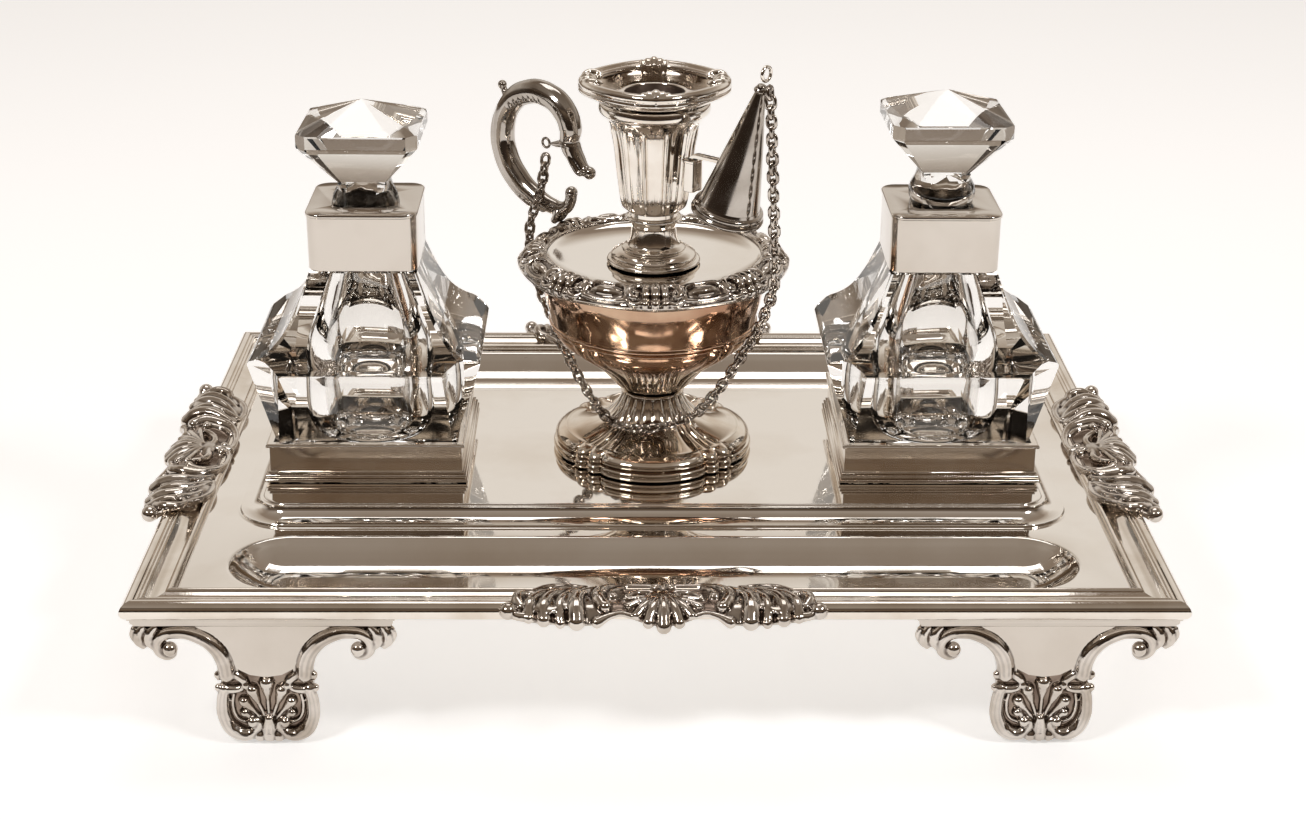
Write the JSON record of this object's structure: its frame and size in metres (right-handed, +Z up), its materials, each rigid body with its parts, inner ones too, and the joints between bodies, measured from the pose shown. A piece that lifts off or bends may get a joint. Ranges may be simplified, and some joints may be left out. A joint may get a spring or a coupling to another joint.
{
  "type": "inkwell",
  "caption": "Footed silver inkstand tray with stoppered cut glass ink bottles, a wafer pot, and a lift-off chamberstick with chained snuffer.",
  "frame": {"origin": "on the ground under the middle of the tray", "axes": "+X to the right along the tray, +Y to the back, +Z up; the front with its foot palmettes faces -Y"},
  "size_m": [0.35, 0.258, 0.1995],
  "materials": {
    "polished_silver": "polished sterling silver, mirror bright with a faint warm tone",
    "cast_silver": "cast and chased silver, dark in the recesses",
    "candlestick_silver": "polished silver with light tarnish",
    "pot_silver": "polished silver with warm brown tarnish",
    "cut_glass": "clear cut and polished lead glass",
    "fastener": "turned brass",
    "chain_silver": "round silver wire, darkened between the links"
  },
  "bodies": {
    "tray": {"tray_plate": "polished_silver", "border_front": "polished_silver", "border_back": "polished_silver", "border_left": "polished_silver", "border_right": "polished_silver", "gallery_left": "polished_silver", "gallery_right": "polished_silver", "rim_ornament_front": "cast_silver", "rim_ornament_back": "cast_silver", "rim_ornament_left": "cast_silver", "rim_ornament_right": "cast_silver", "foot_front_left": "cast_silver", "foot_front_right": "cast_silver", "foot_back_left": "cast_silver", "foot_back_right": "cast_silver", "pot_foot": "pot_silver", "pot_bowl": "pot_silver", "pot_stud": "fastener", "pot_nut": "fastener"},
    "bottle_left": {"bottle_left": "cut_glass", "collar_left": "polished_silver"},
    "bottle_right": {"bottle_right": "cut_glass", "collar_right": "polished_silver"},
    "stopper_left": {"stopper_left": "cut_glass"},
    "stopper_right": {"stopper_right": "cut_glass"},
    "chamberstick": {"drip_pan": "candlestick_silver", "pan_border": "cast_silver", "candle_socket": "candlestick_silver", "snuffer_bracket": "candlestick_silver", "handle": "cast_silver", "chain_eye": "cast_silver", "chain": "chain_silver"},
    "nozzle": {"nozzle": "candlestick_silver"},
    "extinguisher": {"extinguisher_cone": "candlestick_silver", "extinguisher_arm": "candlestick_silver", "extinguisher_eye": "candlestick_silver"}
  },
  "joints": [
    {"name": "bottle_left_lift", "type": "slide", "parent": "tray", "child": "bottle_left", "axis": [0, 0, 1], "range_m": [0, 0.04]},
    {"name": "bottle_right_lift", "type": "slide", "parent": "tray", "child": "bottle_right", "axis": [0, 0, 1], "range_m": [0, 0.04]},
    {"name": "stopper_left_lift", "type": "slide", "parent": "bottle_left", "child": "stopper_left", "axis": [0, 0, 1], "range_m": [0, 0.03]},
    {"name": "stopper_right_lift", "type": "slide", "parent": "bottle_right", "child": "stopper_right", "axis": [0, 0, 1], "range_m": [0, 0.03]},
    {"name": "chamberstick_lift", "type": "slide", "parent": "tray", "child": "chamberstick", "axis": [0, 0, 1], "range_m": [0, 0.009]},
    {"name": "nozzle_lift", "type": "slide", "parent": "chamberstick", "child": "nozzle", "axis": [0, 0, 1], "range_m": [0, 0.025]},
    {"name": "extinguisher_lift", "type": "slide", "parent": "chamberstick", "child": "extinguisher", "axis": [0, 0, 1], "range_m": [0, 0.007]}
  ]
}
